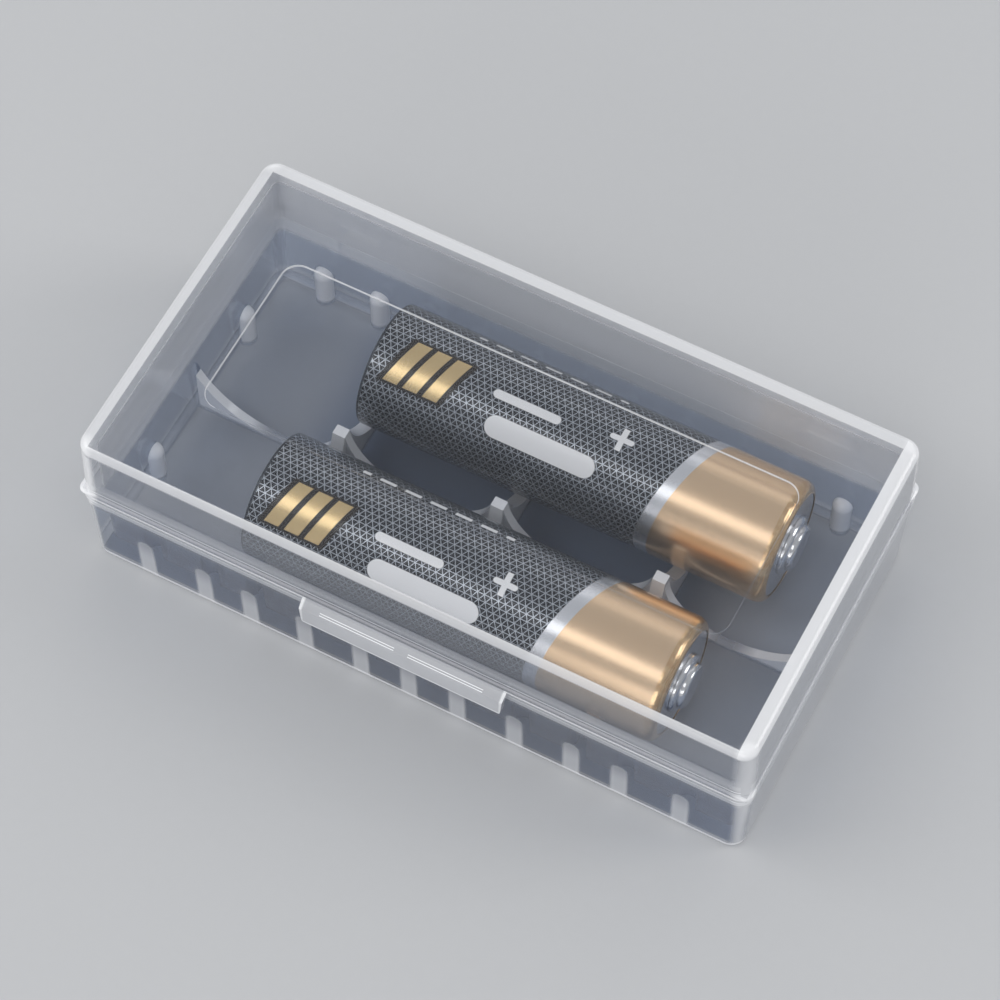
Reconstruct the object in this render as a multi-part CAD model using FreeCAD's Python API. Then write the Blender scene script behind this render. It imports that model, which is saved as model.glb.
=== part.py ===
import FreeCAD, Part
import os
from math import acos, atan2, cos, radians, sin, sqrt, tan

os.makedirs("parts", exist_ok=True)
Vector = FreeCAD.Vector
along_x = Vector(1, 0, 0)
along_y = Vector(0, 1, 0)
along_z = Vector(0, 0, 1)

# X runs along the long side, the latch faces -Y, Z is up.
# The origin is on the resting plane, under the middle of the box.
# Every inset is measured inwards from the lid's rim band, the widest outline.

# Case as a whole
case_length = 79.0
case_width = 42.2
case_height = 22.2
corner_radius = 1.8
wall = 1.4
seam_height = 12.1
seam_gap = 0.1
cut_overrun = 1.0

# Base tray shell
base_rim_inset = 0.25
base_foot_inset = 0.55
base_foot_round = 0.6
base_floor = 1.5
base_inner_corner = 1.0
base_inner_round = 0.8
base_collar_height = 1.3
base_collar_proud = 0.12
tongue_height = 1.0
tongue_thickness = 0.7
tongue_clearance = 0.15

# Ribs, divider and cradle webs inside the tray
rib_place_shares = (0.1545, 0.3356, 0.514, 0.6631, 0.8522)
rib_width = 2.3
rib_proud = 1.5
rib_top = 7.5
bay_shift = 0.175
divider_thickness = 1.0
divider_low_rise = 0.6
divider_end_drop = 2.8
divider_end_low_share = 0.41
web_rib_number = 3
web_thickness = 1.5
web_drop = 2.35
cradle_relief = 0.275

# Lid shell
lid_skirt_inset = 0.2
lid_roof_inset = 0.4
lid_roof = 1.4
lid_edge_round = 0.9
lid_inner_corner = 1.0
lid_inner_round = 0.6
band_height = 1.0
band_bevel = 0.15
panel_length = 60.8
panel_width = 19.8
panel_corner = 2.0
panel_depth = 0.25

# Snap hinges on the back
hinge_end_inset = 11.0
hinge_wall_gap = 0.1
hinge_rise = 0.3
pin_radius = 0.9
pin_clearance = 0.05
clip_radius = 1.6
clip_length = 5.0
clip_mouth = 1.4
clip_side_gap = 0.15
ear_radius = 1.35
ear_thickness = 1.2
ear_drop = 4.2

# Latch tab and its catch on the front
tab_width = 24.0
tab_side_taper = 0.3
tab_corner = 0.6
tab_foot_drop = 2.4
tab_root_gap = 0.04
tab_root_thickness = 0.25
tab_slant_out = 0.88
tab_slant_drop = 0.74
tab_thickness = 0.75
tab_edge_round = 0.2
catch_length = 8.8
catch_middle_gap = 1.4
bead_radius = 0.38
bead_sink = 0.05
catch_gap = 0.07
ridge_radius = 0.35
ridge_drop = 1.1

# Dry cells lying in the bays, positive end towards +X
cell_radius = 7.1
cell_body_length = 48.7
cell_rest_gap = 0.3
front_cell_middle = 2.35
back_cell_middle = 5.25
label_thickness = 0.12
label_end_gap = 1.1
label_foot_gap = 0.25
can_wall = 0.25
can_end_wall = 0.35
can_shoulder = 1.2
can_mouth_lip = 0.3
can_mouth_round = 0.25
can_mouth_reach = 0.9
nub_radius = 2.65
nub_height = 1.3
nub_round = 0.5
cathode_count = 4
cathode_air_gap = 3.75
cathode_thickness = 2.05
cell_fit_gap = 0.05
separator_thickness = 0.25
anode_air_gap = 5.4
nail_radius = 0.6
nail_length = 36.0
nail_head_radius = 1.6
nail_head_gap = 0.1
seal_thickness = 0.9
seal_hub_radius = 1.7
seal_hub_height = 2.6
washer_thickness = 0.6
washer_bore = 2.6
end_cap_thickness = 0.35
end_cap_plate_radius = 4.4
end_cap_step = 0.45

# Sizes worked out from the ones above
tongue_inset = base_rim_inset + wall - tongue_thickness
lid_foot = seam_height + seam_gap
band_top = lid_foot + band_height + band_bevel
front_face = -case_width / 2
hinge_place = case_length / 2 - hinge_end_inset
hinge_y = case_width / 2 + clip_radius + hinge_wall_gap
hinge_z = seam_height + hinge_rise
tab_foot_height = seam_height - tab_foot_drop
ridge_height = seam_height - ridge_drop
bead_height = ridge_height - ridge_radius - catch_gap - bead_radius
inner_end_x = case_length / 2 - base_foot_inset - wall
inner_side_y = case_width / 2 - base_foot_inset - wall
bay_half_width = (inner_side_y - divider_thickness / 2) / 2
bay_offset = divider_thickness / 2 + bay_half_width + bay_shift
divider_low = base_floor + divider_low_rise
divider_end_height = seam_height - divider_end_drop
web_height = seam_height - web_drop
cradle_radius = bay_half_width + cradle_relief
rib_radius = rib_width / 2
rib_places = [share * inner_end_x for share in rib_place_shares]
web_spacing = rib_places[web_rib_number - 1]
cell_axis_height = divider_low + cell_rest_gap + cell_radius
can_radius = cell_radius - label_thickness


def rounded_outline(half_length, half_width, radius, height):
    """Closed rounded rectangle round the Z axis at one height."""
    signs = ((1, 1), (-1, 1), (-1, -1), (1, -1))
    corners = []
    for quarter, (sign_x, sign_y) in enumerate(signs):
        centre = Vector(sign_x * (half_length - radius), sign_y * (half_width - radius), height)
        turns = [radians(90 * quarter + step) for step in (0, 45, 90)]
        corners.append([centre + Vector(cos(turn), sin(turn), 0) * radius for turn in turns])
    edges = []
    for corner, following in zip(corners, corners[1:] + corners[:1]):
        edges.append(Part.Arc(*corner).toShape())
        edges.append(Part.LineSegment(corner[2], following[0]).toShape())
    return Part.Wire(edges)


def drafted_block(low_inset, low, high_inset, high, radius):
    """Solid between two case outlines, each at its own inset and height, with its corners rounded."""
    halves = [(case_length / 2 - inset, case_width / 2 - inset) for inset in (low_inset, high_inset)]
    (low_x, low_y), (high_x, high_y) = halves
    block = Part.makeWedge(-low_x, low, -low_y, -high_y, -high_x, low_x, high, low_y, high_y, high_x)
    block.rotate(Vector(0, 0, 0), along_x, 90)
    upright = [edge for edge in block.Edges if edge.BoundBox.ZLength > (high - low) / 2]
    return block.makeFillet(radius, upright)


def rounded_at(shape, height, radius):
    """The shape with its edges at one height rounded."""
    level = shape.BoundBox.ZLength / 1000
    edges = [edge for edge in shape.Edges
             if abs(edge.BoundBox.ZMin - height) < level and abs(edge.BoundBox.ZMax - height) < level]
    return shape.makeFillet(radius, edges)


def extruded(edges, direction):
    """Solid made by pushing a closed flat outline along a direction."""
    return Part.Face(Part.Wire(Part.__sortEdges__(edges))).extrude(direction)


def outline(points, place):
    """Edges of a closed flat outline. A point's third value, where it has one, rounds its corner."""
    corners = []
    for index, (across, up, *size) in enumerate(points):
        corner = place(across, up)
        if not size:
            corners.append([corner])
            continue
        before = (place(*points[index - 1][:2]) - corner).normalize()
        after = (place(*points[(index + 1) % len(points)][:2]) - corner).normalize()
        half = before.getAngle(after) / 2
        centre = corner + (before + after).normalize() * (size[0] / sin(half))
        middle = centre + (corner - centre).normalize() * size[0]
        reach = size[0] / tan(half)
        corners.append([corner + before * reach, middle, corner + after * reach])
    edges = []
    for corner, following in zip(corners, corners[1:] + corners[:1]):
        if len(corner) > 1:
            edges.append(Part.Arc(*corner).toShape())
        edges.append(Part.LineSegment(corner[-1], following[0]).toShape())
    return edges


def box(low, high):
    """Box between two corners."""
    size = high - low
    return Part.makeBox(size.x, size.y, size.z, low)


def rod(radius, low_x, high_x, y, z):
    """Round bar along X."""
    return Part.makeCylinder(radius, high_x - low_x, Vector(low_x, y, z), along_x)


def fused(shapes):
    """One solid out of pieces that meet."""
    return shapes[0].fuse(shapes[1:]).removeSplitter()


def domed_rib(x, y):
    """Upright half-round rib with a domed top, standing in the floor."""
    post = Part.makeCylinder(rib_radius, rib_top - rib_radius - base_floor / 2, Vector(x, y, base_floor / 2))
    return post.fuse(Part.makeSphere(rib_radius, Vector(x, y, rib_top - rib_radius)))


def wall_ribs():
    """Ribs along both long walls and one per bay on each end wall."""
    side_y = inner_side_y - rib_proud + rib_radius
    end_x = inner_end_x - rib_proud + rib_radius
    places = [0] + [sign * place for place in rib_places for sign in (-1, 1)]
    ribs = [domed_rib(x, sign * side_y) for x in places for sign in (-1, 1)]
    ribs += [domed_rib(sign * end_x, y) for sign in (-1, 1) for y in (-bay_offset, bay_offset)]
    return ribs


def divider():
    """Thin wall along the middle, scooped out between the webs."""
    half_web = web_thickness / 2
    low_x = web_spacing + half_web
    low_x += divider_end_low_share * (inner_end_x - low_x)

    def end_scoop(sign):
        """Two arcs of one end bay, level where they meet, from the web to the end wall."""
        arcs = []
        for x, height in ((web_spacing + half_web, web_height), (inner_end_x, divider_end_height)):
            rise = height - divider_low
            radius = ((x - low_x) ** 2 + rise ** 2) / (2 * rise)
            turn = atan2(x - low_x, radius - rise) / 2
            middle = Vector(sign * (low_x + radius * sin(turn)), 0, divider_low + radius * (1 - cos(turn)))
            arcs.append(Part.Arc(Vector(sign * x, 0, height), middle,
                                 Vector(sign * low_x, 0, divider_low)).toShape())
        return arcs

    edges = []
    for sign in (-1, 1):
        edges += end_scoop(sign)
        near = Vector(sign * half_web, 0, web_height)
        low = Vector(sign * web_spacing / 2, 0, divider_low)
        far = Vector(sign * (web_spacing - half_web), 0, web_height)
        beyond = Vector(sign * (web_spacing + half_web), 0, web_height)
        edges.append(Part.Arc(near, low, far).toShape())
        edges.append(Part.LineSegment(far, beyond).toShape())
    middle_tops = [Vector(sign * half_web, 0, web_height) for sign in (-1, 1)]
    edges.append(Part.LineSegment(*middle_tops).toShape())
    tops = [Vector(sign * inner_end_x, 0, divider_end_height) for sign in (-1, 1)]
    outers = [Vector(sign * (inner_end_x + wall / 2), 0, divider_end_height) for sign in (-1, 1)]
    feet = [Vector(sign * (inner_end_x + wall / 2), 0, base_floor / 2) for sign in (-1, 1)]
    for a, b in zip([tops[0], outers[0], feet[0], feet[1], outers[1]],
                    [outers[0], feet[0], feet[1], outers[1], tops[1]]):
        edges.append(Part.LineSegment(a, b).toShape())
    plate = extruded(edges, along_y * divider_thickness)
    plate.translate(along_y * (-divider_thickness / 2))
    return plate


def cradle_web(x):
    """Cross web whose two hollows carry the cells. It ends inside the ribs of both long walls."""
    def hollow_height(y):
        """Height of the hollow's arc over one place across the bay."""
        return divider_low + cradle_radius - sqrt(cradle_radius ** 2 - (y - bay_offset) ** 2)

    peak_drop = cradle_radius - (web_height - divider_low)
    near_y = bay_offset - sqrt(cradle_radius ** 2 - peak_drop ** 2)
    end_y = inner_side_y - rib_proud + rib_radius / 2
    low_z = base_floor / 2
    edges = [Part.LineSegment(Vector(x, -near_y, web_height), Vector(x, near_y, web_height)).toShape()]
    for sign in (-1, 1):
        end = Vector(x, sign * end_y, hollow_height(end_y))
        edges.append(Part.Arc(Vector(x, sign * near_y, web_height),
                              Vector(x, sign * bay_offset, divider_low), end).toShape())
        edges.append(Part.LineSegment(end, Vector(x, sign * end_y, low_z)).toShape())
    edges.append(Part.LineSegment(Vector(x, -end_y, low_z), Vector(x, end_y, low_z)).toShape())
    plate = extruded(edges, along_x * web_thickness)
    plate.translate(along_x * (-web_thickness / 2))
    return plate


def hinge_ear(low_x):
    """Ear that carries one end of a hinge pin, tangent from the pin down to the wall."""
    wall_y = case_width / 2 - base_rim_inset
    buried_y = wall_y - wall / 2
    stem_top = seam_height - seam_gap
    foot_z = seam_height - ear_drop
    to_foot = (wall_y - hinge_y, foot_z - hinge_z)
    turn = atan2(to_foot[1], to_foot[0]) + acos(ear_radius / sqrt(to_foot[0] ** 2 + to_foot[1] ** 2))
    shoulder_y = hinge_y - sqrt(ear_radius ** 2 - (hinge_z - stem_top) ** 2)
    points = [(buried_y, foot_z), (wall_y, foot_z),
              (hinge_y + ear_radius * cos(turn), hinge_z + ear_radius * sin(turn)),
              (hinge_y, hinge_z), (shoulder_y, stem_top), (buried_y, stem_top)]
    stem = extruded(outline(points, lambda y, z: Vector(low_x, y, z)), along_x * ear_thickness)
    return stem.fuse(rod(ear_radius, low_x, low_x + ear_thickness, hinge_y, hinge_z))


def hinge_ears_and_pin(x):
    """Two ears with the pin between them."""
    reach = clip_length / 2 + clip_side_gap
    pin = rod(pin_radius, x - reach - ear_thickness, x + reach + ear_thickness, hinge_y, hinge_z)
    return [hinge_ear(x - reach - ear_thickness), hinge_ear(x + reach), pin]


def hinge_clip(x):
    """Open clip that snaps over a hinge pin, with its arm from the lid's rim."""
    low_x, high_x = x - clip_length / 2, x + clip_length / 2
    arm_y = case_width / 2 - (tongue_inset - tongue_clearance) / 2
    ring = rod(clip_radius, low_x, high_x, hinge_y, hinge_z)
    arm = box(Vector(low_x, arm_y, hinge_z), Vector(high_x, hinge_y, hinge_z + clip_radius))
    bore = rod(pin_radius + pin_clearance, low_x - cut_overrun, high_x + cut_overrun, hinge_y, hinge_z)
    mouth = box(Vector(low_x - cut_overrun, hinge_y - clip_mouth / 2, hinge_z - clip_radius - cut_overrun),
                Vector(high_x + cut_overrun, hinge_y + clip_mouth / 2, hinge_z))
    return ring.fuse(arm).cut([bore, mouth])


def catch_pair(radius, y, z):
    """Two lengths of half-round bead beside each other."""
    inner = catch_middle_gap / 2
    return [rod(radius, low_x, low_x + catch_length, y, z) for low_x in (inner, -inner - catch_length)]


def base_tray():
    """Lower half of the box with everything moulded to it."""
    shell = drafted_block(base_foot_inset, 0, base_rim_inset, seam_height, corner_radius)
    shell = rounded_at(shell, 0, base_foot_round)
    collar_inset = base_rim_inset - base_collar_proud
    collar = drafted_block(collar_inset, seam_height - base_collar_height, collar_inset, seam_height,
                           corner_radius)
    tongue = drafted_block(tongue_inset, base_floor, tongue_inset, seam_height + tongue_height,
                           corner_radius - tongue_thickness)
    top = seam_height + tongue_height + cut_overrun
    draft = (base_foot_inset - base_rim_inset) / seam_height
    hollow = drafted_block(base_foot_inset + wall - draft * base_floor, base_floor,
                           base_foot_inset + wall - draft * top, top, base_inner_corner)
    hollow = rounded_at(hollow, base_floor, base_inner_round)
    shell = shell.fuse([collar, tongue]).cut(hollow)
    pieces = [shell, divider()] + wall_ribs()
    pieces += [cradle_web(x) for x in (-web_spacing, 0, web_spacing)]
    for x in (-hinge_place, hinge_place):
        pieces += hinge_ears_and_pin(x)
    pieces += catch_pair(ridge_radius, front_face + collar_inset, ridge_height)
    return fused(pieces)


def lid_shell():
    """Upper half of the box, with the label panel sunk into its roof."""
    shell = drafted_block(lid_skirt_inset, lid_foot, lid_roof_inset, case_height, corner_radius)
    shell = rounded_at(shell, case_height, lid_edge_round)
    band = drafted_block(0, lid_foot, 0, lid_foot + band_height, corner_radius)
    bevel = drafted_block(0, lid_foot + band_height, lid_skirt_inset, band_top, corner_radius)
    foot_inset = tongue_inset + tongue_thickness
    hollow = drafted_block(foot_inset, lid_foot - cut_overrun, lid_roof_inset + wall,
                           case_height - lid_roof, lid_inner_corner)
    hollow = rounded_at(hollow, case_height - lid_roof, lid_inner_round)
    rebate_inset = tongue_inset - tongue_clearance
    rebate = drafted_block(rebate_inset, lid_foot - cut_overrun, rebate_inset,
                           seam_height + tongue_height + tongue_clearance,
                           corner_radius - tongue_thickness)
    panel_edge = rounded_outline(panel_length / 2, panel_width / 2, panel_corner, case_height - panel_depth)
    panel = Part.Face(panel_edge).extrude(along_z * (panel_depth + cut_overrun))
    shell = shell.fuse([band, bevel]).cut([hollow, rebate, panel])
    return fused([shell] + [hinge_clip(x) for x in (-hinge_place, hinge_place)])


def latch_tab():
    """Springy tab that hangs from the rim band and snaps under the catch ridge."""
    root_y = front_face - tab_root_gap
    top_z = lid_foot + band_height
    outer_y = root_y - tab_root_thickness - tab_slant_out
    inner_y = outer_y + tab_thickness
    half = tab_width / 2
    foot_half = half - tab_side_taper
    side = [(root_y, top_z), (root_y - tab_root_thickness, top_z),
            (outer_y, top_z - tab_slant_drop, tab_edge_round), (outer_y, tab_foot_height, tab_edge_round),
            (inner_y, tab_foot_height), (inner_y, lid_foot - (root_y - inner_y)), (root_y, lid_foot)]
    front = [(-half, top_z), (half, top_z), (foot_half, tab_foot_height, tab_corner),
             (-foot_half, tab_foot_height, tab_corner)]
    leg = extruded(outline(side, lambda y, z: Vector(-half, y, z)), along_x * tab_width)
    face = extruded(outline(front, lambda x, z: Vector(x, outer_y, z)), along_y * (root_y - outer_y))
    return fused([leg.common(face)] + catch_pair(bead_radius, inner_y + bead_sink, bead_height))


def turned(points):
    """Solid of revolution round the X axis from a closed outline of (x, radius) points."""
    profile = Part.Wire(outline(points, lambda x, radius: Vector(x, 0, radius)))
    return Part.Face(profile).revolve(Vector(0, 0, 0), along_x, 360)


def tube(low_x, high_x, outer, inner):
    """Ring or sleeve along X."""
    return turned([(low_x, inner), (high_x, inner), (high_x, outer), (low_x, outer)])


def can():
    """Steel can with a rounded shoulder, the positive nub and a mouth turned in over the seal."""
    inner = can_radius - can_wall
    mouth = can_radius - can_mouth_reach
    end = cell_body_length
    nub_end = end + nub_height
    nub_inner = nub_radius - can_end_wall
    return turned([(0, mouth), (0, can_radius, can_mouth_round), (end, can_radius, can_shoulder),
                   (end, nub_radius), (nub_end, nub_radius, nub_round), (nub_end, 0),
                   (nub_end - can_end_wall, 0), (nub_end - can_end_wall, nub_inner),
                   (end - can_end_wall, nub_inner), (end - can_end_wall, inner, can_shoulder - can_wall),
                   (can_mouth_lip, inner), (can_mouth_lip, mouth)])


def label():
    """Printed sleeve shrunk round the can."""
    return tube(label_foot_gap, cell_body_length - label_end_gap, cell_radius, can_radius)


def cathode_bore():
    """Inner radius of the cathode rings."""
    return can_radius - can_wall - cell_fit_gap - cathode_thickness


def cathode():
    """Pressed rings stacked against the closed end of the can."""
    end = cell_body_length - can_end_wall - (can_shoulder - can_wall)
    step = (end - seal_top() - cathode_air_gap + cell_fit_gap) / cathode_count
    outer = can_radius - can_wall - cell_fit_gap
    rings = []
    for place in range(cathode_count):
        high = end - place * step
        rings.append(tube(high - step + cell_fit_gap, high, outer, cathode_bore()))
    return Part.makeCompound(rings)


def separator():
    """Paper cup that lines the rings."""
    outer = cathode_bore() - cell_fit_gap
    inner = outer - separator_thickness
    low = seal_top() + cell_fit_gap
    high = cell_body_length - can_end_wall - cell_fit_gap
    return turned([(low, inner), (low, outer), (high, outer), (high, 0),
                   (high - separator_thickness, 0), (high - separator_thickness, inner)])


def seal_top():
    """Height of the seal's flange inside the can."""
    return can_mouth_lip + cell_fit_gap + washer_thickness + cell_fit_gap + seal_thickness


def anode():
    """Gel core with the hole that the nail fills."""
    radius = cathode_bore() - 2 * cell_fit_gap - separator_thickness
    high = cell_body_length - can_end_wall - 2 * cell_fit_gap - separator_thickness
    nail_end = nail_neck() + nail_length + cell_fit_gap
    bore = nail_radius + cell_fit_gap
    low = seal_top() - seal_thickness + seal_hub_height + anode_air_gap
    return turned([(low, bore), (low, radius), (high, radius), (high, 0), (nail_end, 0), (nail_end, bore)])


def nail_neck():
    """Where the nail's head ends, just under the seal."""
    return seal_top() - seal_thickness - nail_head_gap


def nail():
    """Current collector with its head under the end cap."""
    start = end_cap_thickness + cell_fit_gap
    neck = nail_neck()
    return turned([(start, 0), (start, nail_head_radius), (neck, nail_head_radius), (neck, nail_radius),
                   (neck + nail_length, nail_radius), (neck + nail_length, 0)])


def seal():
    """Moulded seal with a hub round the nail."""
    outer = can_radius - can_wall - cell_fit_gap
    bore = nail_radius + cell_fit_gap
    high = seal_top()
    low = high - seal_thickness
    return turned([(low, bore), (low, outer), (high, outer), (high, seal_hub_radius),
                   (high + seal_hub_height - seal_thickness, seal_hub_radius),
                   (high + seal_hub_height - seal_thickness, bore)])


def washer():
    """Steel washer that backs the seal inside the turned-in mouth."""
    low = can_mouth_lip + cell_fit_gap
    return tube(low, low + washer_thickness, can_radius - can_wall - cell_fit_gap, washer_bore)


def end_cap():
    """Negative terminal plate, set in the mouth of the can."""
    rim = can_radius - can_mouth_reach - cell_fit_gap
    thick = end_cap_thickness
    step = end_cap_step - thick
    low = can_mouth_lip - thick
    return turned([(0, 0), (0, end_cap_plate_radius), (low, end_cap_plate_radius + step), (low, rim),
                   (can_mouth_lip, rim), (can_mouth_lip, end_cap_plate_radius),
                   (thick, end_cap_plate_radius - step), (thick, 0)])


cell_pieces = {"can": can, "label": label, "cathode": cathode, "separator": separator, "anode": anode,
               "nail": nail, "seal": seal, "washer": washer, "end_cap": end_cap}
cell_places = {"front_cell": (front_cell_middle, -bay_offset), "back_cell": (back_cell_middle, bay_offset)}

parts = {"base_tray": base_tray(), "lid_shell": lid_shell(), "latch_tab": latch_tab()}
for cell, (middle_x, axis_y) in cell_places.items():
    for piece, make in cell_pieces.items():
        shape = make()
        shape.translate(Vector(middle_x - cell_body_length / 2, axis_y, cell_axis_height))
        parts[cell + "_" + piece] = shape

for name, shape in parts.items():
    print(name, "solids", len(shape.Solids), "valid", shape.isValid(), "volume", round(shape.Volume, 2))
    shape.exportStep("parts/" + name + ".step")
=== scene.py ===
"""Looks of a clear flip-lid battery case with two round cells, laid out as an add-on."""

from collections import namedtuple
from functools import reduce
from math import cos, radians, sin, tau

import bpy
from bpy.props import FloatProperty, FloatVectorProperty, PointerProperty
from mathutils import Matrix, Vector


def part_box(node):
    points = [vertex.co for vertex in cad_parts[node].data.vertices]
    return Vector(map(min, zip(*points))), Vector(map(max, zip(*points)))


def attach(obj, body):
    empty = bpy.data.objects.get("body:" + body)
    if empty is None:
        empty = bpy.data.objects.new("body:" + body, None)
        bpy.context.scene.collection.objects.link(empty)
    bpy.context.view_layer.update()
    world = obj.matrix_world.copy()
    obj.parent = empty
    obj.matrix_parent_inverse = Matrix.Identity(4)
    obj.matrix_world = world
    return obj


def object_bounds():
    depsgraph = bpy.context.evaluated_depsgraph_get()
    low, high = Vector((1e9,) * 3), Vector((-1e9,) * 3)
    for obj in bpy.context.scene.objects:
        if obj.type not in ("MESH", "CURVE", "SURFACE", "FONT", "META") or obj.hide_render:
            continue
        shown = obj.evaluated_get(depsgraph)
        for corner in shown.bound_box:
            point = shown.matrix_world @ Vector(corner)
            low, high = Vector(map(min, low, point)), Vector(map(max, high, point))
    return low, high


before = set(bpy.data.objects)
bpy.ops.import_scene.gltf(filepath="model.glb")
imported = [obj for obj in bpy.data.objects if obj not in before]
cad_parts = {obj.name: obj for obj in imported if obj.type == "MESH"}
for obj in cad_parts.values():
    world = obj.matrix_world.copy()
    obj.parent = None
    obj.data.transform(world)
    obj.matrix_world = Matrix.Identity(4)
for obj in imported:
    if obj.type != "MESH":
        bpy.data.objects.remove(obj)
cad_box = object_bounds()

bl_info = {
    "name": "Clear Battery Case",
    "version": (1, 0, 0),
    "blender": (4, 5, 0),
    "location": "View3D > Sidebar > Battery Case",
    "description": "Finishes a clear flip-lid battery case and its two cells, and sets a small studio",
    "category": "Object",
}

MM = 0.001
CELLS = ("front_cell", "back_cell")

# Where a cell starts and ends along X, the place of its axis and its label's radius
CellSize = namedtuple("CellSize", "start end side height radius")


def cell_size(cell, unit=1.0):
    """Sizes of one cell from the boxes of its can and its label, in metres unless a unit is given."""
    low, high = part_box(cell + "_can")
    label_low, label_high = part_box(cell + "_label")
    values = (low[0], high[0], (low[1] + high[1]) / 2, (low[2] + high[2]) / 2,
              (label_high[2] - label_low[2]) / 2)
    return CellSize(*(value / unit for value in values))


# Shader maths

class Wire:
    """A node's output that takes part in written maths."""

    def __init__(self, shader, socket):
        self.shader = shader
        self.socket = socket

    def math(self, operation, *others):
        return self.shader.math(operation, self, *others)

    def __add__(self, other):
        return self.math("ADD", other)

    __radd__ = __add__

    def __sub__(self, other):
        return self.math("SUBTRACT", other)

    def __rsub__(self, other):
        return self.shader.math("SUBTRACT", other, self)

    def __mul__(self, other):
        return self.math("MULTIPLY", other)

    __rmul__ = __mul__

    def __truediv__(self, other):
        return self.math("DIVIDE", other)

    def __rtruediv__(self, other):
        return self.shader.math("DIVIDE", other, self)

    def __pow__(self, other):
        return self.math("POWER", other)

    def __abs__(self):
        return self.math("ABSOLUTE")

    def __lt__(self, other):
        return self.math("LESS_THAN", other)

    def __gt__(self, other):
        return self.math("GREATER_THAN", other)

    def least(self, other):
        return self.math("MINIMUM", other)

    def most(self, other):
        return self.math("MAXIMUM", other)

    def wave(self, pitch):
        """Distance to the nearest of a row of lines that are one pitch apart."""
        return abs((self / pitch + 0.5).math("FRACT") - 0.5) * pitch

    def step(self, low, high):
        """Soft step from 0 at low to 1 at high."""
        return self.shader.node("ShaderNodeMapRange", {"interpolation_type": "SMOOTHSTEP"},
                                {"Value": self, "From Min": low, "From Max": high})

    def drop(self, low, high):
        """Soft step from 1 at low to 0 at high."""
        return 1 - self.step(low, high)


def length(a, b):
    """Length of the hypotenuse over two wires."""
    return (a * a + b * b) ** 0.5


def band(value, centre, half, soft):
    """1 within half of the centre, falling softly to 0."""
    return abs(value - centre).drop(half, half + soft)


class Nodes:
    """A node tree and the one way that nodes are added to it."""

    def __init__(self, tree):
        self.tree = tree
        self.tree.nodes.clear()

    def node(self, kind, settings=None, inputs=None, output=0):
        """Add a node. Its settings go in first, then the values or links of its sockets."""
        made = self.tree.nodes.new(kind)
        for name, value in (settings or {}).items():
            if name == "stops":
                ramp = made.color_ramp
                while len(ramp.elements) < len(value):
                    ramp.elements.new(0.5)
                for element, (place, colour) in zip(ramp.elements, value):
                    element.position = place
                    element.color = (*colour, 1.0)
            else:
                setattr(made, name, value)
        for name, value in (inputs or {}).items():
            socket = made.inputs[name]
            if socket.is_multi_input:
                for part in value:
                    self.tree.links.new(part.socket, socket)
            elif isinstance(value, Wire):
                self.tree.links.new(value.socket, socket)
            elif socket.type == "RGBA" and len(value) == 3:
                socket.default_value = (*value, 1.0)
            else:
                socket.default_value = value
        return Wire(self, made.outputs[output]) if made.outputs else None

    def math(self, operation, *values):
        return self.node("ShaderNodeMath", {"operation": operation}, dict(enumerate(values)))

    def vector(self, x, y, z):
        return self.node("ShaderNodeCombineXYZ", None, {0: x, 1: y, 2: z})

    def parts(self, vector):
        """The three numbers of a vector."""
        return [self.node("ShaderNodeSeparateXYZ", None, {0: vector}, axis) for axis in range(3)]


class Shader(Nodes):
    """One material and the nodes that make it."""

    def __init__(self, name):
        self.material = bpy.data.materials.new(name)
        self.material.use_nodes = True
        super().__init__(self.material.node_tree)

    def place(self):
        """Object coordinates in millimetres, as a vector."""
        point = self.node("ShaderNodeTexCoord", output="Object")
        return self.node("ShaderNodeVectorMath", {"operation": "SCALE"}, {0: point, "Scale": 1 / MM})

    def noise(self, vector, scale, detail=3.0, rough=0.5):
        """Noise with the scale in waves per millimetre."""
        return self.node("ShaderNodeTexNoise", None, {"Vector": vector, "Scale": scale, "Detail": detail,
                                                      "Roughness": rough, "Distortion": 0.0})

    def blend(self, mask, low, high):
        """Colour that goes from low to high with the mask."""
        return self.node("ShaderNodeMix", {"data_type": "RGBA"}, {0: mask, 6: low, 7: high}, 2)

    def bump(self, height, strength, distance):
        return self.node("ShaderNodeBump", None,
                         {"Height": height, "Strength": strength, "Distance": distance})

    def facing(self):
        """0 where the surface faces the eye, 1 where it is seen edge on."""
        return self.node("ShaderNodeLayerWeight", None, {"Blend": 0.5}, "Facing")

    def clear(self, colour):
        return self.node("ShaderNodeBsdfTransparent", None, {"Color": tuple(colour)})

    def mix(self, share, first, second):
        """Shader that goes from the first to the second with the share."""
        return self.node("ShaderNodeMixShader", None, {0: share, 1: first, 2: second})

    def principled(self, inputs):
        return self.node("ShaderNodeBsdfPrincipled", None, inputs)

    def finish(self, surface):
        self.node("ShaderNodeOutputMaterial", None, {"Surface": surface})
        return self.material


def dress(node, material):
    """Give a CAD node its material."""
    piece = bpy.data.objects[node]
    if piece.material_slots:
        for slot in piece.material_slots:
            slot.material = material
    else:
        piece.data.materials.append(material)


# Sizes and colours that a user would change

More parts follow.
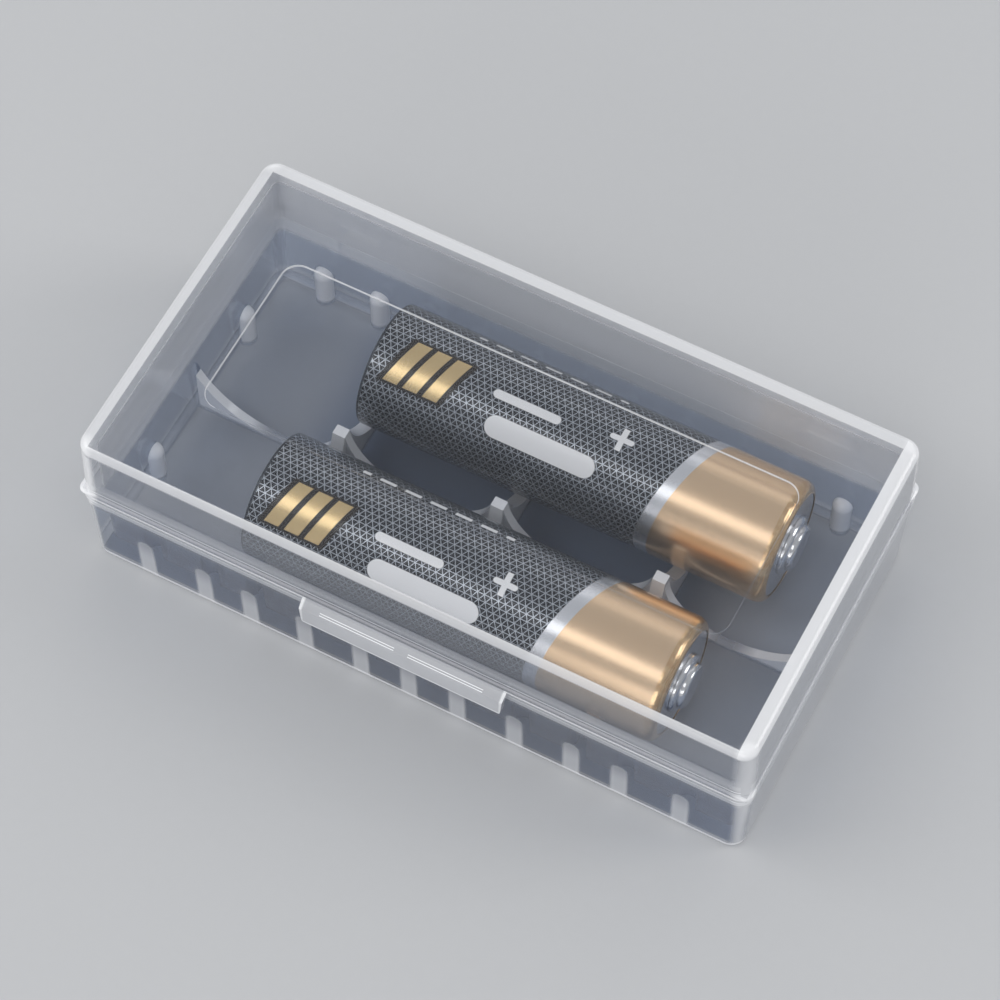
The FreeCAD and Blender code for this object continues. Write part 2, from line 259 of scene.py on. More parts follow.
class CaseLook(bpy.types.PropertyGroup):
    """Finish of the clear plastic."""
    tint: FloatVectorProperty(name="Tint", description="Colour that one wall face lets through",
                              subtype="COLOR", size=3, min=0, max=1, default=(0.945, 0.95, 0.96))
    # The milk is also the colour of the painted highlights and painted light that the marks lay on.
    milk: FloatVectorProperty(name="Milk", description="Colour of the haze where the plastic is thick",
                              subtype="COLOR", size=3, min=0, max=1, default=(0.90, 0.91, 0.94))
    # The grey of the haze is painted shade: a haze lit in this room would look whiter.
    shade: FloatVectorProperty(name="Shade", description="Colour of the haze in a plain wall",
                               subtype="COLOR", size=3, min=0, max=1, default=(0.32, 0.34, 0.39))
    slate: FloatVectorProperty(name="Slate", description="Colour that a fully tinted face lets through",
                               subtype="COLOR", size=3, min=0, max=1, default=(0.64, 0.70, 0.80))
    haze: FloatProperty(name="Haze", description="Share of haze where a wall is seen straight on",
                        subtype="FACTOR", min=0, max=1, default=0.022)
    edge_haze: FloatProperty(name="Edge Haze", description="Share of haze where a wall is seen edge on",
                             subtype="FACTOR", min=0, max=1, default=0.80)
    roughness: FloatProperty(name="Roughness", description="Roughness of the moulded faces",
                             subtype="FACTOR", min=0, max=1, default=0.12)


class CellLook(bpy.types.PropertyGroup):
    """Printed sleeve and steel of the cells."""
    charcoal: FloatVectorProperty(name="Charcoal", description="Ground colour of the sleeve",
                                  subtype="COLOR", size=3, min=0, max=1, default=(0.012, 0.016, 0.024))
    silver: FloatVectorProperty(name="Silver", description="Colour of the lattice",
                                subtype="COLOR", size=3, min=0, max=1, default=(0.62, 0.66, 0.72))
    gold: FloatVectorProperty(name="Gold", description="Colour of the positive end",
                              subtype="COLOR", size=3, min=0, max=1, default=(0.88, 0.64, 0.42))
    lattice: FloatProperty(name="Lattice", min=0.2, max=5, default=0.705,
                           description="Height of one triangle of the lattice, in millimetres")
    steel: FloatVectorProperty(name="Steel", description="Colour of the nickel-plated can",
                               subtype="COLOR", size=3, min=0, max=1, default=(0.86, 0.86, 0.87))


class StageLook(bpy.types.PropertyGroup):
    """Floor, lamps and camera."""
    floor: FloatVectorProperty(name="Floor", description="Colour of the floor",
                               subtype="COLOR", size=3, min=0, max=1, default=(0.55, 0.56, 0.58))
    lens: FloatProperty(name="Lens", description="Focal length of the camera on a 36 mm wide sensor",
                        subtype="DISTANCE_CAMERA", min=10, max=300, default=129.8)
    distance: FloatProperty(name="Distance", description="From the camera to the middle of the case",
                            subtype="DISTANCE", unit="LENGTH", min=0.1, max=5, default=0.384)
    height_angle: FloatProperty(name="Height Angle", description="How steeply the camera looks down",
                                subtype="ANGLE", default=radians(60.19))
    side_angle: FloatProperty(name="Side Angle", subtype="ANGLE", default=radians(27.53),
                              description="How far the camera stands towards the positive ends")
    lamp: FloatProperty(name="Lamp", description="Power that each lamp takes its share of",
                        subtype="POWER", min=0, default=1.8)


# Finishes
# Places are in millimetres from the middle of the case and its resting face. A pair of places is a soft
# border: the change starts at the first and is complete at the second.

BEHIND_BACK = (21.15, 21.3)
# Where light is painted onto the back wall and the left wall, and the level it starts from
LIT_BACK, LIT_LEFT, LIT_FROM = (18.4, 19.2), (-37.6, -36.8), (10.4, 11.4)


def painted_light_walls(x, y):
    """1 on the back wall and the left wall, where the light they catch from inside is painted on."""
    return y.step(*LIT_BACK).most(x.drop(*LIT_LEFT))


def clear_plastic(name, look, haze_share, marks, slate_share=None):
    """Clear moulded plastic: see-through faces, greyer edge on, and whiter where the marks lay on milk,
    painted highlights and painted light.
    """
    faced_mirror, edge_mirror, most_body = 0.015, 0.85, 0.97
    make = Shader(name)
    point = make.place()
    x, y, z = make.parts(point)
    facing = make.facing()
    cloud = make.noise(point, scale=0.09, detail=2.0)
    scuffs = make.noise(make.vector(x * 0.35, y * 1.6, z * 1.2), scale=1.3, detail=4.0, rough=0.7)
    # the thin hinge parts behind the back wall are nearly clear
    thin = 1 - y.step(*BEHIND_BACK) * 0.6
    # haze that grows edge on, in the grey of painted shade
    shade = look.haze * (0.7 + cloud * 0.6) + look.edge_haze * facing ** 3.0
    shade = shade * haze_share * thin
    # the marks paint milk, highlights and light onto the faces
    white = marks(x, y, z) * thin
    mirror = (faced_mirror + edge_mirror * facing ** 5.0) * thin
    milk = shade + white
    share = mirror + milk
    # painted light: the haze on the back and left walls turns from grey to milk
    painted_light = painted_light_walls(x, y) * z.step(*LIT_FROM) * 0.9
    pale = (white + shade * painted_light) / milk
    ground = make.blend(pale, tuple(look.shade), tuple(look.milk))
    colour = make.blend(milk / share, (1.0, 1.0, 1.0), ground)
    shade_level, milk_level = (sum(colours) / 3 for colours in (look.shade, look.milk))
    metal = mirror / (mirror + milk * (shade_level + (milk_level - shade_level) * pale))
    waves = make.bump(make.noise(point, scale=0.1, detail=1.0), 0.05, 0.6 * MM)
    body = make.principled({"Base Color": colour, "Metallic": metal, "Normal": waves,
                            "Roughness": look.roughness + scuffs.step(0.66, 0.8) * 0.2 + cloud * 0.05})
    clear = make.clear(look.tint)
    if slate_share:
        clear = make.mix(slate_share(x, y, z), clear, make.clear(look.slate))
    return make.finish(make.mix(share.least(most_body), clear, body))


TRAY_ENDS, TRAY_SIDES = (38.2, 38.8), (19.9, 20.4)
FLOOR_TOP, COLLAR_FOOT = (1.6, 2.0), (10.2, 11.2)
# The floor between the cells, moved towards their negative ends, and the strip along the front wall
GAP_SHIFT, GAP_ENDS, FRONT_STRIP = 1.0, (17.0, 27.0), (-17.2, -15.8)


def tray_slate(x, y, z):
    """Share of the slate tint on the tray's faces: deep on the floor between the cells, less elsewhere, with
    painted reflection towards the floor's ends and painted shade between the cells.
    """
    floor = abs(x).drop(*TRAY_ENDS) * abs(y).drop(*TRAY_SIDES) * z.drop(*FLOOR_TOP)
    # painted reflection: the tint thins towards both ends of the floor, and it stays deep between the cells
    # as painted shade
    gap = 0.7 - abs(x + GAP_SHIFT).step(*GAP_ENDS) * 0.6
    walls = z.step(*FLOOR_TOP) * z.drop(*COLLAR_FOOT)
    return floor * gap.most(y.drop(*FRONT_STRIP)) + walls * 0.7


FRONT_WALL, INNER_END, INNER_SIDE, INNER_FLOOR = (-17.4, -17.0), 37.2, 18.9, (1.8, 3.0)
# Middles of the wall ribs along X, level of their round top's middle, half their width, the painted
# highlight line along their sides, and where they fade upwards
RIB_PLACES = (0.0, 5.79, 12.58, 19.27, 24.87, 31.96)
RIB_TOP, RIB_HALF, RIB_LINE, RIB_FADE = 6.35, (0.55, 1.25), (0.5, 0.9), (3.5, 7.5)
OUTER_SIDE, FRONT_COLLAR, COLLAR = 20.2, (11.2, 11.35), (10.2, 11.6)
# Where the painted highlights along the foot and down the vertical corners lie
FOOT_TOP, FOOT_SIDES, FOOT_ENDS = (0.85, 1.05), (19.8, 20.0), (38.2, 38.4)
TRAY_CORNER_X, TRAY_CORNER_Y = (37.4, 38.6), (19.0, 20.2)


def tray_marks(x, y, z):
    """Milkier places of the tray: milk on the webs and the collar, and painted light on the ribs, the collar
    of the back and side walls, the foot and the corners.
    """
    front = y.drop(*FRONT_WALL)
    inside = (abs(x) < INNER_END) * (abs(y) < INNER_SIDE) * z.step(*INNER_FLOOR) * (1.0 - front * 0.9)
    away = length(reduce(Wire.least, [abs(abs(x) - place) for place in RIB_PLACES]), (z - RIB_TOP).most(0.0))
    # painted light: the ribs' glow on the outer faces, with a painted highlight along their sides
    rib = away.drop(*RIB_HALF) * (0.9 + away.step(*RIB_LINE) * 0.35) * (1 - z.step(*RIB_FADE) * 0.5)
    outer_face = (y < -OUTER_SIDE) * 0.42 + (y > OUTER_SIDE) * 0.14
    # milk on the collar under the seam, more on the back and side walls as painted light
    collar = front * z.step(*FRONT_COLLAR) * 0.3 + (1 - front) * z.step(*COLLAR) * 0.4
    # painted highlight along the foot of the outer walls
    foot = z.drop(*FOOT_TOP) * abs(y).step(*FOOT_SIDES).most(abs(x).step(*FOOT_ENDS))
    # painted highlight down the vertical corners
    corner = abs(x).step(*TRAY_CORNER_X) * abs(y).step(*TRAY_CORNER_Y)
    return inside + rib * outer_face + collar + foot * 0.62 + corner * 0.45


WALL_TOP, ROOF_EDGE, ROOF_TOP = (20.6, 20.9), (20.9, 21.4), 21.8
# Where the painted highlight round the roof's edge starts
RIM_LEFT, RIM_RIGHT, RIM_BACK, RIM_FRONT = (-37.76, -37.64), (37.34, 37.46), (18.9, 19.02), (-20.19, -20.07)
LID_SIDES, LID_ENDS = (20.6, 20.7), (39.0, 39.1)
# Painted highlights along the seam: level, half width, softness and share
SEAM_LINES = ((12.95, 0.1, 0.12, 1.0), (12.24, 0.06, 0.1, 0.6), (13.98, 0.04, 0.08, 0.8),
              (13.45, 0.12, 0.15, 0.4), (14.75, 0.2, 0.5, 0.15))
# Straight halves of the sunk panel's outline, its corner radius and the width of the painted highlight along
# it
PANEL_X, PANEL_Y, PANEL_CORNER, PANEL_LINE = 28.4, 7.9, 2.0, 0.07
# Where the painted highlights down the vertical corners lie
LID_CORNER_X, LID_CORNER_Y = (36.8, 38.6), (18.4, 20.2)


def lid_marks(x, y, z):
    """Painted light on the lid: lighter back and left walls, and highlights along the seam, down the
    corners, round the roof's edge and round the sunk panel.
    """
    # painted light on the back and left walls
    walls = painted_light_walls(x, y) * z.drop(*WALL_TOP)
    # painted highlight round the roof's edge, stronger on the right
    edge = x.drop(*RIM_LEFT).most(y.step(*RIM_BACK)).most(y.drop(*RIM_FRONT))
    rim = edge.most(x.step(*RIM_RIGHT) * 1.3) * z.step(*ROOF_EDGE)
    # painted highlights along the seam, on the outer faces only
    outer_face = abs(y).step(*LID_SIDES).most(abs(x).step(*LID_ENDS))
    seam_highlights = reduce(Wire.most, [band(z, *line) * share for *line, share in SEAM_LINES])
    # painted highlight round the sunk panel, brighter on its left and back sides
    panel = abs(length((abs(x) - PANEL_X).most(0.0), (abs(y) - PANEL_Y).most(0.0)) - PANEL_CORNER)
    painted_light = (x < -PANEL_X).most(y > PANEL_Y)
    line = panel.drop(0.0, PANEL_LINE) * (z > ROOF_TOP) * (0.1 + painted_light * 0.6)
    # painted highlight down the vertical corners
    corner = abs(x).step(*LID_CORNER_X) * abs(y).step(*LID_CORNER_Y)
    return walls * 0.32 + rim * 0.6 + seam_highlights * outer_face * 0.75 + line + corner * 0.5


TAB_HALF, TAB_FOOT, TAB_OUTLINE, TAB_FACE = 12.0, 9.7, (0.25, 0.5), -21.6
# Levels of the catch's two painted highlight lines, their half width and softness, and their inner and outer
# ends
CATCH_LEVELS, CATCH_LINE, CATCH_ENDS = (12.61, 12.78), (0.02, 0.03), (0.8, 9.6)


def tab_marks(x, y, z):
    """Milky latch tab with a painted highlight round its outline and the catch's two painted highlight lines
    along the slanted face.
    """
    # painted highlight round the tab's outline
    outline_highlight = (TAB_HALF - abs(x)).least(z - TAB_FOOT).drop(*TAB_OUTLINE)
    # two painted highlight lines of the catch, on the outer face only
    catch_highlight = reduce(Wire.most, [band(z, level, *CATCH_LINE) for level in CATCH_LEVELS])
    catch_highlight = catch_highlight * (abs(x) > CATCH_ENDS[0]) * (abs(x) < CATCH_ENDS[1]) * (y < TAB_FACE)
    return 0.34 + outline_highlight * 0.56 + catch_highlight * 0.6


# Print on the sleeve, in millimetres along the cell from its negative end and round it from its top

CHARCOAL_END, GOLD_START, RING_SLANT = (35.72, 35.80), (37.22, 37.30), 0.30
LATTICE_LINE = (0.012, 0.06)
# Three slanted gold bars: their lean, middle round the cell, half length, dark margin, pitch and half width
BARS_LEAN, BARS_START, BARS_END, BARS_MIDDLE, BARS_HALF, BARS_MARGIN = 0.35, 4.0, 11.2, 3.6, 2.6, 0.3
BARS_FIRST, BARS_PITCH, BARS_WIDTH = 5.2, 2.4, (0.82, 0.9)
# Bars with round ends: where they start and end, their middle round the cell and their half width
CAPSULES = ((14.5, 27.5, -6.0, 1.25), (14.0, 22.0, -2.6, 0.5), (27.4, 30.2, -1.6, 0.32))
PLUS_PLACE, PLUS_ROUND, PLUS_WIDTH, PLUS_REACH = 28.8, 1.6, (0.28, 0.38), (1.32, 1.42)
DASHES_ROUND, DASHES_WIDTH, DASHES_START, DASHES_END = 4.2, (0.22, 0.32), 9.0, 27.0
DASHES_PITCH, DASHES_GAP = 3.0, (0.9, 1.0)
OVERLAP_ROUND, OVERLAP_EDGE = 15.0, (0.1, 0.3)
BAR_DARK, BAR_GOLD = (0.02, 0.015, 0.012), (0.80, 0.60, 0.32)
PRINT_WHITE, BAND_SILVER = (0.92, 0.92, 0.93), (0.82, 0.83, 0.86)


def capsule(along, around, low, high, centre, half):
    """1 inside a bar with round ends along the cell."""
    away = (abs(along - (low + high) / 2) - ((high - low) / 2 - half)).most(0.0)
    return length(away, around - centre).drop(half - 0.06, half + 0.06)


def sleeve(name, look, cell, turn):
    """Printed sleeve: charcoal with a silver lattice, plain bars, a slanted silver band and a gold end."""
    make = Shader(name)
    size = cell_size(cell, MM)
    x, y, z = make.parts(make.place())
    along = x - size.start
    around = ((y - size.side).math("ARCTAN2", z - size.height) + turn) * size.radius
    grain = make.noise(make.place(), scale=2.5, rough=0.6)
    runs = [along * sin(radians(angle)) + around * cos(radians(angle)) for angle in (0, 60, -60)]
    lattice = reduce(Wire.most, [run.wave(look.lattice).drop(*LATTICE_LINE) for run in runs])
    # the band and the gold end start on a slanted ring
    slanted = along - (y - size.side) * RING_SLANT
    charcoal = slanted.drop(*CHARCOAL_END)
    gold = slanted.step(*GOLD_START)
    # slanted gold bars in a dark field near the negative end
    lean = along - around * BARS_LEAN
    off = abs(around + BARS_MIDDLE)
    bars = (lean > BARS_START) * (lean < BARS_END) * off.drop(BARS_HALF, BARS_HALF + 0.1)
    bars = bars * (lean - BARS_FIRST).wave(BARS_PITCH).drop(*BARS_WIDTH)
    field = (lean > BARS_START - BARS_MARGIN) * (lean < BARS_END + BARS_MARGIN)
    field = field * off.drop(BARS_HALF + BARS_MARGIN, BARS_HALF + BARS_MARGIN + 0.1)
    thick, thin, across = (capsule(along, around, *sizes) for sizes in CAPSULES)
    stroke = abs(along - PLUS_PLACE).drop(*PLUS_WIDTH) * abs(around + PLUS_ROUND).drop(*PLUS_REACH)
    dashes = abs(around - DASHES_ROUND).drop(*DASHES_WIDTH) * (along > DASHES_START) * (along < DASHES_END)
    dashes = dashes * (along - DASHES_START).wave(DASHES_PITCH).drop(*DASHES_GAP)
    white = thick.most(thin).most(across.most(stroke)).most(dashes)
    lattice = lattice * (0.75 + 0.25 * grain) * (1 - field) * (1 - white)
    ground = make.blend(lattice, tuple(look.charcoal), tuple(look.silver))
    ground = make.blend(field, ground, BAR_DARK)
    ground = make.blend(bars, ground, BAR_GOLD)
    ground = make.blend(white, ground, PRINT_WHITE)
    colour = make.blend(charcoal, make.blend(gold, BAND_SILVER, tuple(look.gold)), ground)
    foil = (1 - charcoal) * 0.92 + charcoal * (lattice * 0.8 + bars * 0.9) * (1 - white)
    overlap = abs(around - OVERLAP_ROUND).drop(*OVERLAP_EDGE)
    shrink = make.noise(make.vector(along * 0.05, around * 0.25, 0.0), scale=0.35, detail=1.0)
    normal = make.bump(shrink * 0.3 + overlap, 0.15, 0.2 * MM)
    return make.finish(make.principled({"Base Color": colour, "Metallic": foil,
                                        "Roughness": 0.24 + grain * 0.04, "Coat Weight": 0.25,
                                        "Coat Roughness": 0.12, "Normal": normal}))


def rim_foil(name, low, high, metal):
    """Film of the sleeve where it is shrunk round the can's edges."""
    make = Shader(name)
    x, y, z = make.parts(make.place())
    folds = make.noise(make.vector(x * 0.4, y, z), scale=1.6, detail=2.0)
    return make.finish(make.principled({"Base Color": make.blend(folds, low, high), "Metallic": metal,
                                        "Roughness": 0.16 + folds * 0.1, "Coat Weight": 0.25,
                                        "Normal": make.bump(folds, 0.15, 0.2 * MM)}))


def plated_steel(name, look, cell, dull):
    """Bright plated steel with fine turning marks round the cell's axis."""
    make = Shader(name)
    size = cell_size(cell, MM)
    point = make.place()
    _, y, z = make.parts(point)
    away = length(y - size.side, z - size.height)
    turning = make.noise(make.vector(away * 6.0, 0.0, 0.0), scale=1.5, detail=2.0)
    smear = make.noise(point, scale=0.5)
    colour = make.blend(smear, tuple(value * dull for value in look.steel), tuple(look.steel))
    return make.finish(make.principled({"Base Color": colour, "Metallic": 1.0,
                                        "Roughness": 0.08 + smear * 0.10,
                                        "Normal": make.bump(turning, 0.1, 0.1 * MM)}))


def plain_finish(name, low, high, scale, rough, metal=0.0):
    """Two close colours worked through each other, with a matching grain."""
    make = Shader(name)
    grain = make.noise(make.place(), scale, detail=4.0, rough=0.6)
    return make.finish(make.principled({"Base Color": make.blend(grain, low, high), "Metallic": metal,
                                        "Roughness": rough + grain * 0.15,
                                        "Normal": make.bump(grain, 0.4, 0.1 * MM)}))


# Curled film

RIM_SIZES = ("Place", "Side", "Height", "Centre Radius", "Curl", "From", "To", "Thickness", "Folds", "Seed")


def rim_tree():
    """Geometry nodes that add one shrunk rim: a strip of film curled round the edge of a can."""
    tree = bpy.data.node_groups.new("sleeve_rim", "GeometryNodeTree")
    inputs = {"Geometry": "NodeSocketGeometry", **dict.fromkeys(RIM_SIZES, "NodeSocketFloat"),
              "Film": "NodeSocketMaterial"}
    for name, kind in inputs.items():
        tree.interface.new_socket(name, in_out="INPUT", socket_type=kind)
    tree.interface.new_socket("Geometry", in_out="OUTPUT", socket_type="NodeSocketGeometry")
    make = Nodes(tree)
    given = {name: make.node("NodeGroupInput", output=name) for name in inputs}
    grid = make.node("GeometryNodeMeshGrid", None,
                     {"Size X": 1.0, "Size Y": 1.0, "Vertices X": 181, "Vertices Y": 17})
    round_share, across_share, _ = make.parts(make.node("GeometryNodeInputPosition"))
    angle = (round_share + 0.5) * tau
    loop = (across_share + 0.5) * tau
    along = loop.math("COSINE") * 0.5 + 0.5
    turn = given["From"] + (given["To"] - given["From"]) * along
    folds = make.node("ShaderNodeTexNoise", {"noise_dimensions": "4D"},
                      {"Vector": make.vector(angle.math("COSINE"), angle.math("SINE"), 0.0),
                       "W": given["Seed"], "Scale": 14.0, "Detail": 2.0})
    reach = given["Curl"] + loop.math("SINE") * given["Thickness"] * 0.5
    reach = reach + (folds - 0.5) * given["Folds"] * along
    away = given["Centre Radius"] + reach * turn.math("SINE")
    place = make.vector(given["Place"] + reach * turn.math("COSINE"),
                        given["Side"] + away * angle.math("SINE"),
                        given["Height"] + away * angle.math("COSINE"))
    strip = make.node("GeometryNodeSetPosition", None, {"Geometry": grid, "Position": place})
    closed = make.node("GeometryNodeMergeByDistance", None, {"Geometry": strip, "Distance": 0.002 * MM})
    smooth = make.node("GeometryNodeSetShadeSmooth", None, {"Geometry": closed, "Shade Smooth": True})
    film = make.node("GeometryNodeSetMaterial", None, {"Geometry": smooth, "Material": given["Film"]})
    joined = make.node("GeometryNodeJoinGeometry", None, {"Geometry": (given["Geometry"], film)})
    whole = make.node("GeometryNodeRealizeInstances", None, {"Geometry": joined})
    make.node("NodeGroupOutput", None, {"Geometry": whole})
    return tree


def curled_rims(name, cell, tree, rims):
    """One mesh of rims, made by the geometry nodes, that rides on its cell."""
    piece = bpy.data.objects.new(name, bpy.data.meshes.new(name))
    bpy.context.scene.collection.objects.link(piece)
    for number, values in enumerate(rims):
        modifier = piece.modifiers.new("rim_%d" % number, "NODES")
        modifier.node_group = tree
        for socket in tree.interface.items_tree:
            if socket.in_out == "INPUT" and socket.name in values:
                modifier[socket.identifier] = values[socket.name]
    settled = piece.evaluated_get(bpy.context.evaluated_depsgraph_get())
    mesh = bpy.data.meshes.new_from_object(settled)
    piece.modifiers.clear()
    piece.data = mesh
    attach(piece, cell)


# Operators

# How much darker the steel is in its smears, and how far each print is turned round its cell, in radians
CAN_DULL, CAP_DULL = 0.82, 0.7
PRINT_TURNS = (0.0, -0.15)
# The film, the can's rounded edges under it, the nub's height and the foot round the nub, in metres
FILM, SHOULDER, MOUTH, NUB = 0.12 * MM, 1.2 * MM, 0.25 * MM, 1.3 * MM
FOOT_RADIUS, FOOT_CURL = 2.75 * MM, 0.62 * MM


class BATTERYCASE_OT_case(bpy.types.Operator):
    """Finish the tray, the lid and the latch tab in clear plastic"""
    bl_idname = "battery_case.case"
    bl_label = "Clear Case"

    def execute(self, context):
        look = context.scene.battery_case_case
        dress("base_tray", clear_plastic("tray_plastic", look, 1.0, tray_marks, tray_slate))
        dress("lid_shell", clear_plastic("lid_plastic", look, 1.0, lid_marks))
        dress("latch_tab", clear_plastic("tab_plastic", look, 1.5, tab_marks))
        return {"FINISHED"}


class BATTERYCASE_OT_cells(bpy.types.Operator):
    """Print the sleeves and finish the steel of both cells"""
    bl_idname = "battery_case.cells"
    bl_label = "Cells"

    def execute(self, context):
        look = context.scene.battery_case_cells
        for cell, turn in zip(CELLS, PRINT_TURNS):
            dress(cell + "_label", sleeve(cell + "_sleeve", look, cell, turn))
            dress(cell + "_can", plated_steel(cell + "_steel", look, cell, CAN_DULL))
            dress(cell + "_end_cap", plated_steel(cell + "_cap_steel", look, cell, CAP_DULL))
        return {"FINISHED"}


class BATTERYCASE_OT_cell_rims(bpy.types.Operator):
    """Curl the ends of both sleeves round the edges of the cans, and a foot round each nub"""
    bl_idname = "battery_case.cell_rims"
    bl_label = "Cell Rims"

    def execute(self, context):
        look = context.scene.battery_case_cells
        tree = rim_tree()
        gold = rim_foil("gold_rim", (0.62, 0.33, 0.15), (0.96, 0.76, 0.48), 0.95)
        charcoal = rim_foil("charcoal_rim", tuple(look.charcoal), (0.06, 0.07, 0.085), 0.4)
        for number, cell in enumerate(CELLS):
            size = cell_size(cell)
            can = size.radius - FILM
            plate = size.end - NUB
            shared = {"Side": size.side, "Height": size.height, "Thickness": FILM, "Folds": FILM * 0.35}
            curled_rims(cell + "_sleeve_rims", cell, tree, (
                {**shared, "Place": plate - SHOULDER, "Centre Radius": can - SHOULDER,
                 "Curl": SHOULDER + FILM * 0.6, "From": radians(98), "To": radians(8),
                 "Seed": number * 2.0, "Film": gold},
                {**shared, "Place": size.start + MOUTH, "Centre Radius": can - MOUTH,
                 "Curl": MOUTH + FILM * 0.6, "From": radians(80), "To": radians(172),
                 "Seed": number * 2.0 + 1.0, "Film": charcoal}))
            curled_rims(cell + "_nub_foot", cell, tree, (
                {**shared, "Place": plate, "Centre Radius": FOOT_RADIUS, "Curl": FOOT_CURL,
                 "From": radians(90), "To": radians(-12), "Folds": 0.0, "Seed": 0.0,
                 "Film": plated_steel(cell + "_foot_steel", look, cell, CAN_DULL)},))
        return {"FINISHED"}


class BATTERYCASE_OT_cell_cores(bpy.types.Operator):
    """Finish the pieces inside the cells"""
    bl_idname = "battery_case.cell_cores"
    bl_label = "Cell Cores"

    def execute(self, context):
        finishes = {
            "cathode": plain_finish("pressed_powder", (0.02, 0.02, 0.021), (0.05, 0.05, 0.052), 3.0, 0.75),
            "separator": plain_finish("separator_paper", (0.72, 0.70, 0.64), (0.83, 0.81, 0.76), 2.0, 0.85),
            "anode": plain_finish("zinc_gel", (0.20, 0.21, 0.22), (0.42, 0.43, 0.45), 1.5, 0.35, 0.3),
            "nail": plain_finish("drawn_brass", (0.62, 0.44, 0.18), (0.78, 0.58, 0.28), 1.2, 0.25, 1.0),
            "seal": plain_finish("moulded_nylon", (0.70, 0.70, 0.67), (0.78, 0.78, 0.75), 1.0, 0.5),
            "washer": plain_finish("zinc_plate", (0.48, 0.49, 0.51), (0.62, 0.63, 0.66), 1.6, 0.3, 1.0),
        }
        for cell in CELLS:
            for piece, material in finishes.items():
                dress(cell + "_" + piece, material)
        return {"FINISHED"}


# Stage, in metres

FLOOR_REACH, FLOOR_DROP = 3.0, 0.0001
# Height in the room from straight down to straight up, and how light the room is there
ROOM_LEVELS = ((0.0, 0.34), (0.3, 0.50), (0.7, 0.62), (1.0, 0.56))
# Name, place, width and height, and share of the lamp's power
LAMPS = (("key_left", (-0.60, -0.25, 0.55), (0.5, 0.65), 0.85),
         ("front_above", (-0.10, -0.45, 0.70), (0.8, 0.26), 0.55),
         ("back_above", (-0.20, 0.74, 0.48), (0.9, 0.6), 0.50),
         ("back_right", (0.65, 0.35, 0.40), (0.3, 0.5), 0.9),
         ("front_fill", (0.20, -0.85, 0.26), (0.7, 0.4), 1.0))
# Middle of the case, and how far the photograph's frame lies right of it, below it and rolled
AIM, AIM_RIGHT, AIM_DOWN, ROLL = (0.0, 0.0, 0.011), 0.00007, 0.00026, radians(0.17)


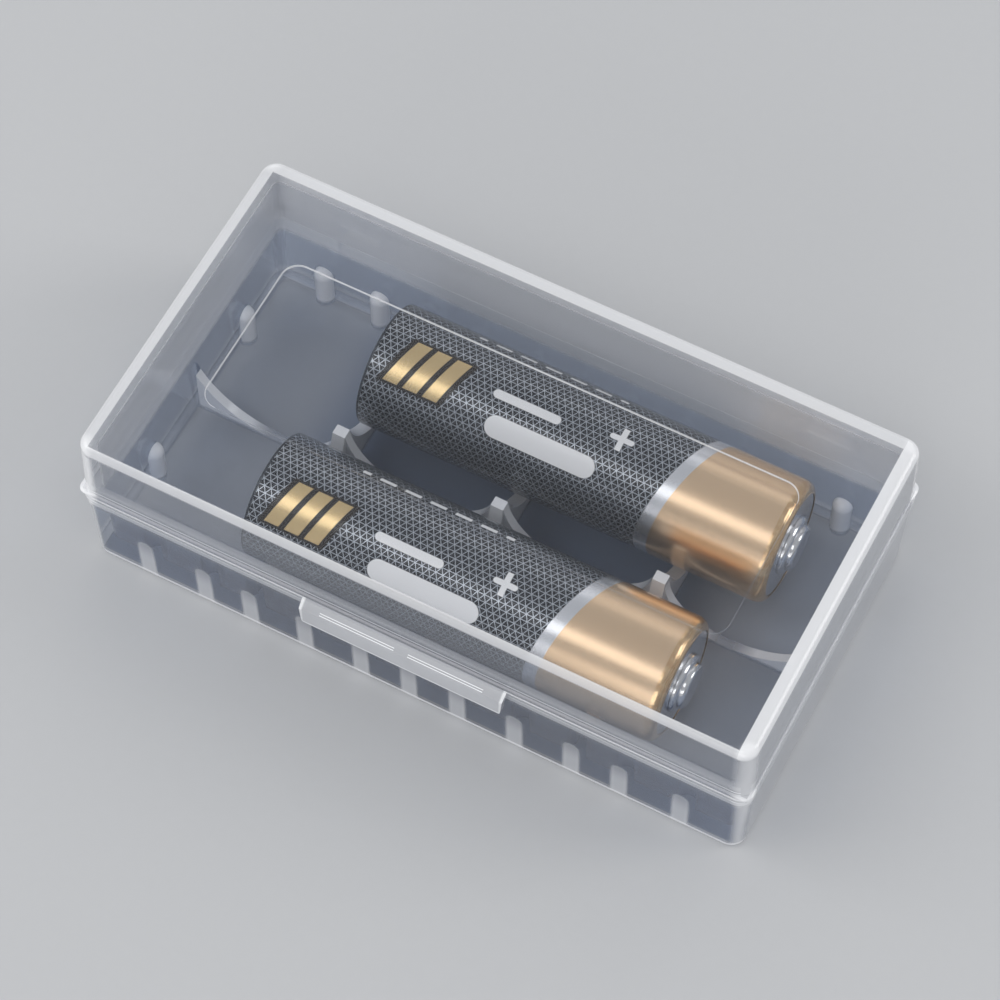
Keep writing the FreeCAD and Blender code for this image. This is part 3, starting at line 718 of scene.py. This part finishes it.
class BATTERYCASE_OT_stage(bpy.types.Operator):
    """Set the floor, the softboxes and the camera"""
    bl_idname = "battery_case.stage"
    bl_label = "Stage"

    def execute(self, context):
        look = context.scene.battery_case_stage
        scene = context.scene
        scene.view_settings.view_transform = "Standard"
        scene.cycles.transparent_max_bounces = 32
        self.floor(scene, look)
        self.lamps(scene, look)
        self.camera(scene, look)
        return {"FINISHED"}

    def floor(self, scene, look):
        """Plain pale floor under the case."""
        make = Shader("floor_paper")
        grain = make.noise(make.place(), scale=0.8)
        colour = make.blend(grain, tuple(value * 0.98 for value in look.floor), tuple(look.floor))
        material = make.finish(make.principled({"Base Color": colour, "Roughness": 0.8}))
        low = cad_box[0][2] - FLOOR_DROP
        corners = [(x * FLOOR_REACH, y * FLOOR_REACH, low) for x, y in ((-1, -1), (1, -1), (1, 1), (-1, 1))]
        mesh = bpy.data.meshes.new("floor")
        mesh.from_pydata(corners, [], [(0, 1, 2, 3)])
        mesh.materials.append(material)
        floor = bpy.data.objects.new("floor", mesh)
        scene.collection.objects.link(floor)

    def lamps(self, scene, look):
        """Even grey room and soft lamps above."""
        world = bpy.data.worlds.new("room")
        world.use_nodes = True
        make = Nodes(world.node_tree)
        height = make.parts(make.node("ShaderNodeTexCoord", output="Generated"))[2]
        stops = [(place, (level * 0.96, level * 0.98, level)) for place, level in ROOM_LEVELS]
        sky = make.node("ShaderNodeValToRGB", {"stops": stops}, {0: height})
        room = make.node("ShaderNodeBackground", None, {"Color": sky, "Strength": 1.0})
        make.node("ShaderNodeOutputWorld", None, {"Surface": room})
        scene.world = world
        for name, place, size, share in LAMPS:
            lamp = bpy.data.lights.new(name, "AREA")
            lamp.shape = "RECTANGLE"
            lamp.size, lamp.size_y = size
            lamp.energy = look.lamp * share
            lamp.color = (1.0, 0.98, 0.95)
            piece = bpy.data.objects.new(name, lamp)
            piece.location = place
            piece.rotation_euler = (-Vector(place)).to_track_quat("-Z", "Y").to_euler()
            scene.collection.objects.link(piece)

    def camera(self, scene, look):
        """Camera at the photograph's angle."""
        up_cos, up_sin = cos(look.height_angle), sin(look.height_angle)
        side_cos, side_sin = cos(look.side_angle), sin(look.side_angle)
        back = Vector((side_sin * up_cos, -side_cos * up_cos, up_sin))
        right = Vector((side_cos, side_sin, 0.0))
        up = back.cross(right)
        right, up = right * cos(ROLL) + up * sin(ROLL), up * cos(ROLL) - right * sin(ROLL)
        data = bpy.data.cameras.new("camera")
        data.lens = look.lens
        data.sensor_width = 36.0
        data.clip_start = 0.01
        camera = bpy.data.objects.new("camera", data)
        camera.location = Vector(AIM) + back * look.distance + right * AIM_RIGHT - up * AIM_DOWN
        turn = camera.matrix_world.to_3x3()
        turn.col[0], turn.col[1], turn.col[2] = right, up, back
        camera.rotation_euler = turn.to_euler()
        scene.collection.objects.link(camera)
        scene.camera = camera


class BATTERYCASE_PT_panel(bpy.types.Panel):
    """Steps and settings of the case"""
    bl_label = "Battery Case"
    bl_idname = "BATTERYCASE_PT_panel"
    bl_space_type = "VIEW_3D"
    bl_region_type = "UI"
    bl_category = "Battery Case"

    def draw(self, context):
        for step in STEPS:
            self.layout.operator(step.bl_idname)
        for name in LOOKS:
            look = getattr(context.scene, name)
            box = self.layout.box()
            for setting in look.__annotations__:
                box.prop(look, setting)


STEPS = (BATTERYCASE_OT_case, BATTERYCASE_OT_cells, BATTERYCASE_OT_cell_rims, BATTERYCASE_OT_cell_cores,
         BATTERYCASE_OT_stage)
LOOKS = {"battery_case_case": CaseLook, "battery_case_cells": CellLook, "battery_case_stage": StageLook}


def register():
    for kind in (*LOOKS.values(), *STEPS, BATTERYCASE_PT_panel):
        bpy.utils.register_class(kind)
    for name, look in LOOKS.items():
        setattr(bpy.types.Scene, name, PointerProperty(type=look))


def unregister():
    for name in LOOKS:
        delattr(bpy.types.Scene, name)
    for kind in (BATTERYCASE_PT_panel, *reversed(STEPS), *reversed(list(LOOKS.values()))):
        bpy.utils.unregister_class(kind)


def main():
    """Run every step in order."""
    register()
    bpy.ops.battery_case.case()
    bpy.ops.battery_case.cells()
    bpy.ops.battery_case.cell_rims()
    bpy.ops.battery_case.cell_cores()
    bpy.ops.battery_case.stage()


if __name__ == "__main__":
    main()
